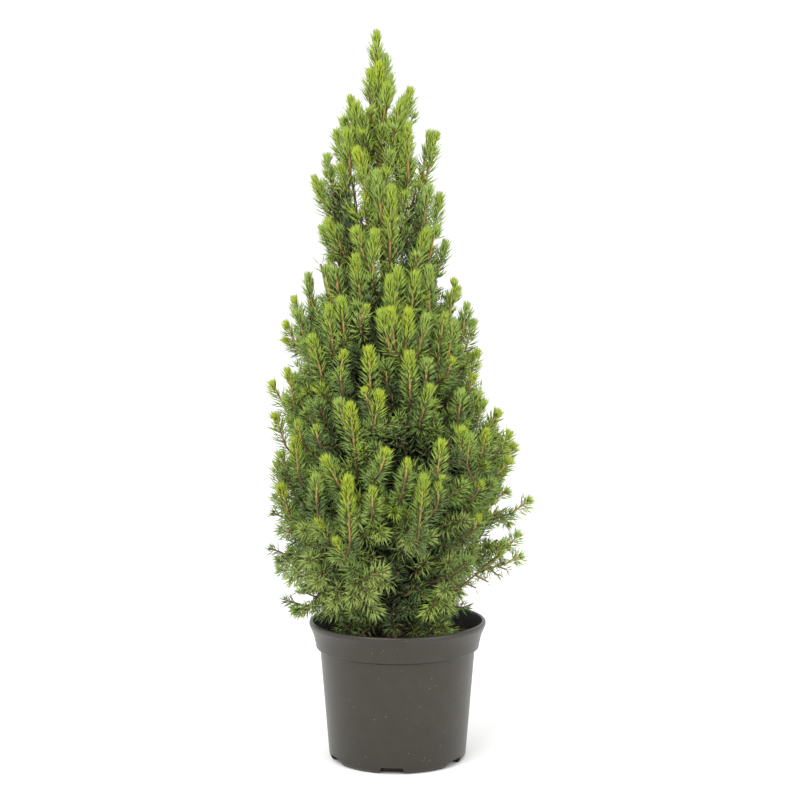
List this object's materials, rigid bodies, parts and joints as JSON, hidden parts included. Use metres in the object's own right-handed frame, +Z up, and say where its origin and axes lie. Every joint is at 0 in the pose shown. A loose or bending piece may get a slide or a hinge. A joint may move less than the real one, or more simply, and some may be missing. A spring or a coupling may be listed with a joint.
{
  "type": "potted dwarf spruce",
  "caption": "Cone-shaped dwarf white spruce with dense short needles, growing in a round black nursery pot of damp growing medium.",
  "frame": {"origin": "middle of the pot's flat underside, on the pot's axis", "axes": "+Z up along the pot's axis; -Y is the front as pictured; +X is to the right seen from the front"},
  "size_m": [0.2736, 0.2649, 0.7768],
  "materials": {
    "pot": "moulded charcoal plastic, semi-matt",
    "growing_medium": "damp, crumbly, matt",
    "bark": "rough, flaking, matt",
    "needles": "waxy green needles"
  },
  "bodies": {
    "root": {"pot": "pot", "soil": "growing_medium", "trunk": "bark", "bough_lower_1": "bark", "bough_lower_2": "bark", "bough_lower_3": "bark", "bough_lower_4": "bark", "bough_lower_5": "bark", "bough_lower_6": "bark", "bough_middle_1": "bark", "bough_middle_2": "bark", "bough_middle_3": "bark", "bough_middle_4": "bark", "bough_middle_5": "bark", "bough_middle_6": "bark", "bough_upper_1": "bark", "bough_upper_2": "bark", "bough_upper_3": "bark", "bough_upper_4": "bark", "bough_upper_5": "bark", "foliage_skirt_1": "needles", "foliage_skirt_2": "needles", "foliage_skirt_3": "needles", "foliage_skirt_4": "needles", "foliage_skirt_5": "needles", "foliage_lower_1": "needles", "foliage_lower_2": "needles", "foliage_lower_3": "needles", "foliage_lower_4": "needles", "foliage_lower_5": "needles", "foliage_lower_6": "needles", "foliage_middle_1": "needles", "foliage_middle_2": "needles", "foliage_middle_3": "needles", "foliage_middle_4": "needles", "foliage_middle_5": "needles", "foliage_middle_6": "needles", "foliage_upper_1": "needles", "foliage_upper_2": "needles", "foliage_upper_3": "needles", "foliage_upper_4": "needles", "foliage_upper_5": "needles", "foliage_shoulder_1": "needles", "foliage_shoulder_2": "needles", "foliage_shoulder_3": "needles", "foliage_shoulder_4": "needles", "foliage_shoulder_5": "needles", "foliage_spire_1": "needles", "foliage_spire_2": "needles", "foliage_spire_3": "needles", "foliage_spire_4": "needles", "foliage_crest_1": "needles", "foliage_crest_2": "needles", "foliage_crest_3": "needles", "foliage_crest_4": "needles", "foliage_tip_1": "needles", "foliage_tip_2": "needles", "foliage_tip_3": "needles", "foliage_tip_4": "needles", "foliage_leader": "needles"}
  },
  "joints": []
}
